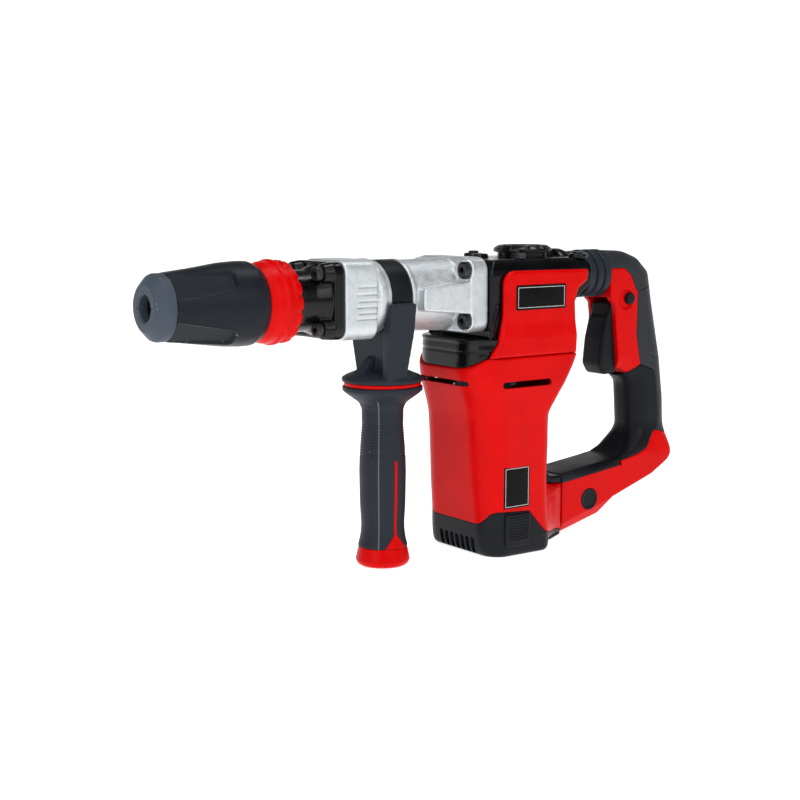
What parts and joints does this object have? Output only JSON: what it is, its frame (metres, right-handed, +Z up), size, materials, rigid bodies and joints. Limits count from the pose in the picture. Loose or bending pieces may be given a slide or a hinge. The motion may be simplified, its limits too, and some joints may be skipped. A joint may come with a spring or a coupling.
{
  "type": "demolition hammer",
  "caption": "Electric demolition hammer with a vertical motor, a long barrel with a quick-release chuck, a sprung D-shaped rear handle and a swivelling clamp-on side grip.",
  "frame": {"origin": "middle of the hammer's length and width, on the plane that its motor base and side grip stand on", "axes": "-X is the way the tool points, +X the rear handle, +Z up along the motor, -Y the operator's left"},
  "size_m": [0.524, 0.096, 0.257],
  "materials": {
    "red_plastic": "satin moulded plastic",
    "black_plastic": "finely textured moulded plastic",
    "black_casting": "gloss black paint on a die casting",
    "silver_casting": "bare shot-blasted die casting",
    "sleeve_plastic": "satin charcoal",
    "soft_rubber": "soft matt charcoal",
    "grey_rubber": "soft matt grey",
    "bright_steel": "zinc plated or ground",
    "dark_steel": "blackened",
    "alloy": "machined",
    "carbon": "matt"
  },
  "bodies": {
    "housing": {"front_flange": "black_casting", "flange_screw_1": "bright_steel", "flange_screw_2": "bright_steel", "flange_screw_3": "bright_steel", "flange_screw_4": "bright_steel", "barrel_housing": "silver_casting", "gear_housing": "silver_casting", "housing_screw_1": "bright_steel", "housing_screw_2": "bright_steel", "housing_screw_3": "bright_steel", "housing_screw_4": "bright_steel", "cylinder_tube": "bright_steel", "crankcase": "black_casting", "top_cover": "black_casting", "cover_screw_1": "bright_steel", "cover_screw_2": "bright_steel", "cover_screw_3": "bright_steel", "cover_screw_4": "bright_steel", "side_cover_left": "red_plastic", "side_cover_right": "red_plastic", "motor_housing": "red_plastic", "base_cap": "black_plastic", "brush_cover_left": "black_plastic", "brush_cover_right": "black_plastic", "stator": "bright_steel", "upper_bearing": "bright_steel", "lower_bearing": "bright_steel", "brush_left": "carbon", "brush_right": "carbon", "bellows": "soft_rubber", "damping_spring": "dark_steel"},
    "holder": {"tool_holder": "dark_steel", "dust_cap": "soft_rubber", "locking_pin": "bright_steel"},
    "sleeve": {"locking_sleeve": "sleeve_plastic", "index_ring": "red_plastic", "sleeve_spring": "dark_steel"},
    "rotor": {"armature": "bright_steel"},
    "crank": {"crank_gear": "bright_steel"},
    "drive_piston": {"piston": "alloy", "connecting_rod": "bright_steel"},
    "ram": {"striker": "bright_steel"},
    "anvil": {"impact_bolt": "bright_steel"},
    "grease_lid": {"grease_cap": "black_casting"},
    "handle": {"handle_left": "red_plastic", "handle_right": "red_plastic", "grip_top": "grey_rubber", "grip_rear": "grey_rubber", "grip_lower": "soft_rubber", "arm_pad": "soft_rubber", "switch_module": "black_plastic", "cord_gland": "black_plastic", "pivot_pin": "bright_steel"},
    "trigger_lever": {"trigger": "black_plastic"},
    "lock_on": {"lock_button": "black_plastic"},
    "clamp": {"clamp_strap": "black_plastic", "clamp_saddle": "black_plastic", "clamp_bolt": "bright_steel"},
    "side_grip": {"grip_core": "red_plastic", "grip_sleeve": "soft_rubber"}
  },
  "joints": [
    {"name": "chisel_index", "type": "hinge", "parent": "housing", "child": "holder", "pos_m": [0, 0, 0.219], "axis": [1, 0, 0], "continuous": true},
    {"name": "sleeve_slide", "type": "slide", "parent": "holder", "child": "sleeve", "axis": [1, 0, 0], "range_m": [0, 0.012], "stiffness_N_per_m": 2500, "springref_m": -0.008, "deforming": ["sleeve_spring"]},
    {"name": "motor_spin", "type": "hinge", "parent": "housing", "child": "rotor", "pos_m": [0.055, 0, 0], "axis": [0, 0, 1], "continuous": true},
    {"name": "crank_spin", "type": "hinge", "parent": "housing", "child": "crank", "pos_m": [0.08625, 0, 0], "axis": [0, 0, 1], "continuous": true},
    {"name": "piston_stroke", "type": "slide", "parent": "housing", "child": "drive_piston", "axis": [-1, 0, 0], "range_m": [0, 0.024]},
    {"name": "striker_slide", "type": "slide", "parent": "housing", "child": "ram", "axis": [-1, 0, 0], "range_m": [0, 0.024]},
    {"name": "impact_bolt_slide", "type": "slide", "parent": "housing", "child": "anvil", "axis": [-1, 0, 0], "range_m": [0, 0.008]},
    {"name": "grease_cap_turn", "type": "hinge", "parent": "housing", "child": "grease_lid", "pos_m": [0.0955, 0, 0], "axis": [0, 0, 1], "continuous": true},
    {"name": "handle_damping", "type": "hinge", "parent": "housing", "child": "handle", "pos_m": [0.157, 0, 0.032], "axis": [0, -1, 0], "range_deg": [0, 2.3], "stiffness_Nm_per_rad": 300, "deforming": ["bellows", "damping_spring"]},
    {"name": "trigger_pull", "type": "hinge", "parent": "handle", "child": "trigger_lever", "pos_m": [0.193, 0, 0.202], "axis": [0, -1, 0], "range_deg": [0, 7], "stiffness_Nm_per_rad": 1, "springref_deg": -2.86},
    {"name": "lock_button_push", "type": "slide", "parent": "handle", "child": "lock_on", "axis": [0, 1, 0], "range_m": [0, 0.003], "stiffness_N_per_m": 800, "springref_m": -0.002},
    {"name": "side_handle_swing", "type": "hinge", "parent": "housing", "child": "clamp", "pos_m": [0, 0, 0.219], "axis": [1, 0, 0], "continuous": true},
    {"name": "side_grip_turn", "type": "hinge", "parent": "clamp", "child": "side_grip", "pos_m": [-0.0515, 0, 0], "axis": [0, 0, 1], "range_deg": [0, 360]}
  ],
  "couplings": [
    {"joint": "crank_spin", "follows": "motor_spin", "ratio": -0.19048}
  ]
}
